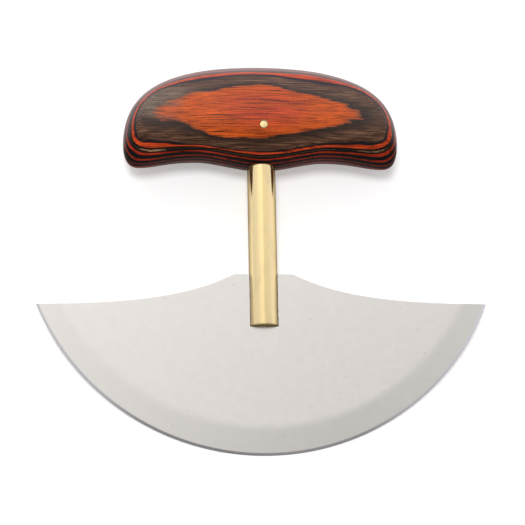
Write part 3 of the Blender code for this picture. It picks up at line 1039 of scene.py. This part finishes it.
solder = {
    "radius": 0.10 * mm,
    "thinnest": 0.015 * mm,
    "spacing": 0.12 * mm,
    "unevenness": 2.7,
    "lumpScale": 900.0,
    "drift": 0.04 * mm,
    "seed": 4.0,
    "sides": 10,
    "stains": ((0.6, 1.2, 0.6), 2.0, 3.7),
    "stainRange": (0.4, 0.65),
    "darkColour": (0.055, 0.03, 0.02),
    "paleColour": (0.32, 0.25, 0.18),
    "metallic": 0.6,
    "roughness": 0.45,
}


def solderMaterial():
    material, tree, shader = newMaterial("stained solder")
    stains = noiseAt(tree, knifeCoordinates(tree), *solder["stains"])
    share = smoothStep(tree, stains, *solder["stainRange"])
    colour = mixColours(tree, share, (*solder["darkColour"], 1), (*solder["paleColour"], 1))
    feed(tree, colour, shader.inputs["Base Color"])
    shader.inputs["Metallic"].default_value = solder["metallic"]
    shader.inputs["Roughness"].default_value = solder["roughness"]
    return material


def solderTree():
    tree, given = newGeometryTree("solder seam", {
        "Path": "Object",
        "Spacing": "Float",
        "Radius": "Float",
        "Thinnest": "Float",
        "Unevenness": "Float",
        "Lump scale": "Float",
        "Drift": "Float",
        "Seed": "Float",
        "Sides": "Int",
        "Material": "Material",
    })
    value = {label: NodeValue(tree, socket) for label, socket in given.items()}
    path = addNode(tree, "GeometryNodeObjectInfo", {"Object": given["Path"]})
    dense = addNode(tree, "GeometryNodeResampleCurve", mode="LENGTH", inputs={
        "Curve": path.outputs["Geometry"],
        "Length": given["Spacing"],
    })
    position = tree.nodes.new("GeometryNodeInputPosition").outputs[0]
    lumps = addNode(tree, "ShaderNodeTexNoise", noise_dimensions="4D", inputs={
        "Vector": position,
        "W": given["Seed"],
        "Scale": given["Lump scale"],
        "Detail": 2.0,
    })
    lump = NodeValue(tree, lumps.outputs[0])
    width = value["Radius"] * (1 + (lump - 0.5) * value["Unevenness"])
    sized = addNode(tree, "GeometryNodeSetCurveRadius", {
        "Curve": dense.outputs[0],
        "Radius": calc(tree, "MAXIMUM", width, value["Thinnest"]),
    })
    sideways = addNode(tree, "ShaderNodeVectorMath", operation="SUBTRACT", inputs={
        0: lumps.outputs["Color"],
        1: (0.5, 0.5, 0.5),
    })
    shifted = addNode(tree, "ShaderNodeVectorMath", operation="SCALE", inputs={
        0: sideways.outputs[0],
        "Scale": given["Drift"],
    })
    moved = addNode(tree, "GeometryNodeSetPosition", {
        "Geometry": sized.outputs[0],
        "Offset": shifted.outputs[0],
    })
    circle = addNode(tree, "GeometryNodeCurvePrimitiveCircle", {
        "Resolution": given["Sides"],
        "Radius": 1.0,
    })
    bead = addNode(tree, "GeometryNodeCurveToMesh", {
        "Curve": moved.outputs[0],
        "Profile Curve": circle.outputs[0],
        "Fill Caps": True,
        "Scale": tree.nodes.new("GeometryNodeInputRadius").outputs[0],
    })
    endGeometryTree(tree, bead.outputs[0], given["Material"])
    return tree


def makeSolder(material):
    side = bladeHigh.z + stem["slotRoom"]
    reach = math.sqrt(stemRadius ** 2 - side ** 2)
    curve = bpy.data.curves.new("solder path", "CURVE")
    curve.dimensions = "3D"
    left = [(-reach, shoulderTop), (-reach, stemLow.y)]
    path = left + [(-x, y) for x, y in reversed(left)]
    for z in (side, -side):
        spline = curve.splines.new("POLY")
        spline.points.add(len(path) - 1)
        for point, (x, y) in zip(spline.points, path):
            point.co = (x, y, z, 1)
    pathObject = linkObject("solder path", curve)
    thing = linkObject("solder_seam", bpy.data.meshes.new("solder_seam"))
    thing = runTree(thing, solderTree(), {
        "Path": pathObject,
        "Spacing": solder["spacing"],
        "Radius": solder["radius"],
        "Thinnest": solder["thinnest"],
        "Unevenness": solder["unevenness"],
        "Lump scale": solder["lumpScale"],
        "Drift": solder["drift"],
        "Seed": solder["seed"],
        "Sides": solder["sides"],
        "Material": material,
    })
    bpy.data.objects.remove(pathObject, do_unlink=True)
    return thing


# The floor, the light and the camera

studio = {
    "floorColour": (0.86, 0.86, 0.86),
    "floorSize": 30.0,
    "floorLift": 0.33,  # how much whiter it is to look at
    "fill": 0.42,  # how much light the tent gives
    "lamps": [  # direction from the knife, size and power
        ((-0.12, -0.03, 1.0), 0.32, 6.4),
        ((-0.35, 1.0, 0.75), 0.7, 3.0),
    ],
    "lampDistance": 1.2,
    # What polish mirrors: how bright the tent is from its dark front to its back, and across
    "tentBack": [
        (-1.0, 0.50), (-0.5, 0.40), (-0.25, 0.68), (-0.09, 0.93), (0.0, 0.98),
        (0.08, 1.05), (0.12, 1.19), (0.17, 1.29), (0.5, 1.4), (1.0, 1.0),
    ],
    "tentAcross": [
        (-1.0, 0.70), (-0.6, 0.88), (-0.3, 1.05), (-0.16, 1.08), (-0.02, 1.03), (0.04, 0.95),
        (0.1, 0.885), (0.2, 0.80), (0.3, 0.83), (0.42, 0.80), (1.0, 0.86),
    ],
    "tentSides": (0.96, 0.99, 1.10),  # their cooler colour
    "tentSidesFrom": (0.3, 0.9),
    "tentTop": (0.92, 0.96, 1.09),
    "tentTopFrom": (0.45, 0.80),
}


def makeFloor():
    shape = bmesh.new()
    bmesh.ops.create_grid(shape, x_segments=1, y_segments=1, size=studio["floorSize"] / 2)
    mesh = bpy.data.meshes.new("floor")
    shape.to_mesh(mesh)
    shape.free()
    floor = linkObject("floor", mesh)
    material, tree, shader = newMaterial("white paper")
    tree.nodes.remove(shader)
    rays = tree.nodes.new("ShaderNodeLightPath")
    paper = addNode(tree, "ShaderNodeBsdfDiffuse")
    paper.inputs["Color"].default_value = (*studio["floorColour"], 1)
    seen = calc(tree, "MAXIMUM", rays.outputs["Is Camera Ray"], rays.outputs["Is Glossy Ray"])
    seen = calc(tree, "MAXIMUM", seen, rays.outputs["Is Transmission Ray"])
    glow = addNode(tree, "ShaderNodeEmission", {"Strength": seen * studio["floorLift"]})
    both = addNode(tree, "ShaderNodeAddShader", {0: paper.outputs[0], 1: glow.outputs[0]})
    tree.links.new(both.outputs[0], tree.nodes["Material Output"].inputs["Surface"])
    mesh.materials.append(material)


def tentRamp(tree, along, stops):
    # Brightness that changes smoothly through some (direction, brightness) stops
    curve = tree.nodes.new("ShaderNodeFloatCurve")
    points = curve.mapping.curves[0].points
    while len(points) < len(stops):
        points.new(0.5, 0.5)
    brightest = max(brightness for _, brightness in stops)
    for point, (place, brightness) in zip(points, stops):
        point.location = ((place + 1) / 2, brightness / brightest)
    curve.mapping.update()
    feed(tree, (along + 1) / 2, curve.inputs["Value"])
    return NodeValue(tree, curve.outputs[0]) * brightest


def makeWorld():
    world = bpy.data.worlds.new("light tent")
    bpy.context.scene.world = world
    world.use_nodes = True
    tree = world.node_tree
    tree.nodes.clear()
    towards = splitVector(tree, tree.nodes.new("ShaderNodeTexCoord").outputs["Generated"])
    across = tentRamp(tree, towards[0], studio["tentAcross"])
    back = tentRamp(tree, towards[1], studio["tentBack"])
    mirrored = addNode(tree, "ShaderNodeBackground", {"Strength": across * back})
    plain = (1, 1, 1, 1)
    sideways = smoothStep(tree, calc(tree, "ABSOLUTE", towards[0]), *studio["tentSidesFrom"])
    tint = mixColours(tree, sideways, plain, (*studio["tentSides"], 1))
    backwards = smoothStep(tree, towards[1], *studio["tentTopFrom"])
    tint = mixColours(tree, backwards, tint, (*studio["tentTop"], 1))
    feed(tree, tint, mirrored.inputs["Color"])
    fill = addNode(tree, "ShaderNodeBackground", {"Color": plain, "Strength": studio["fill"]})
    white = addNode(tree, "ShaderNodeBackground", {"Color": plain})
    rays = tree.nodes.new("ShaderNodeLightPath").outputs
    glossy = addNode(tree, "ShaderNodeMixShader", {
        0: rays["Is Glossy Ray"],
        1: fill.outputs[0],
        2: mirrored.outputs[0],
    })
    seen = calc(tree, "MAXIMUM", rays["Is Camera Ray"], rays["Is Transmission Ray"])
    whole = addNode(tree, "ShaderNodeMixShader", {
        0: seen,
        1: glossy.outputs[0],
        2: white.outputs[0],
    })
    output = tree.nodes.new("ShaderNodeOutputWorld")
    tree.links.new(whole.outputs[0], output.inputs["Surface"])


def makeLamps():
    for number, (towards, size, power) in enumerate(studio["lamps"], start=1):
        lamp = bpy.data.lights.new(f"softbox {number}", "AREA")
        lamp.energy = power
        lamp.size = size
        thing = linkObject(lamp.name, lamp)
        direction = Vector(towards).normalized()
        thing.location = direction * studio["lampDistance"]
        thing.rotation_euler = direction.to_track_quat("Z", "Y").to_euler()
        thing.visible_glossy = False


view = {
    "distance": 600 * mm,
    "lens": 123.36,
    "aim": (-0.13 * mm, 14.23 * mm),
    "stepLeft": 5.58,  # degrees that the camera stands to the left of the knife's front
    "stepDown": 13.16,  # and below it
    "roll": -1.08,
}


def makeCamera():
    camera = bpy.data.cameras.new("camera")
    camera.lens = view["lens"]
    left = math.tan(math.radians(view["stepLeft"]))
    down = math.tan(math.radians(view["stepDown"]))
    back = Vector((-left, -down, 1)).normalized()
    right = Vector((0, 1, 0)).cross(back).normalized()
    turn = Matrix.Rotation(math.radians(view["roll"]), 3, back)
    right = turn @ right
    up = back.cross(right)
    place = Vector((*view["aim"], 0)) + view["distance"] * back
    axes = Matrix((right, up, back)).transposed().to_4x4()
    thing = linkObject("camera", camera)
    thing.matrix_world = knifePlace @ Matrix.Translation(place) @ axes
    bpy.context.scene.camera = thing


bpy.context.scene.view_settings.view_transform = "Standard"
makeCamera()
makeWorld()
makeLamps()
makeFloor()
print("the camera and the light stand")

finishPiece(makeHandle(woodMaterial()), "laminated_wood", *veneers)
brassMetal = brassMaterial()
finishPiece(makePin(brassMetal), "brass", "cross_pin")
finishPiece(makeStem(brassMetal), "brass", "stem")
finishPiece(makeBlade(steelMaterial(), honedMaterial()), "steel", "blade")
finishPiece(makeSolder(solderMaterial()), None)
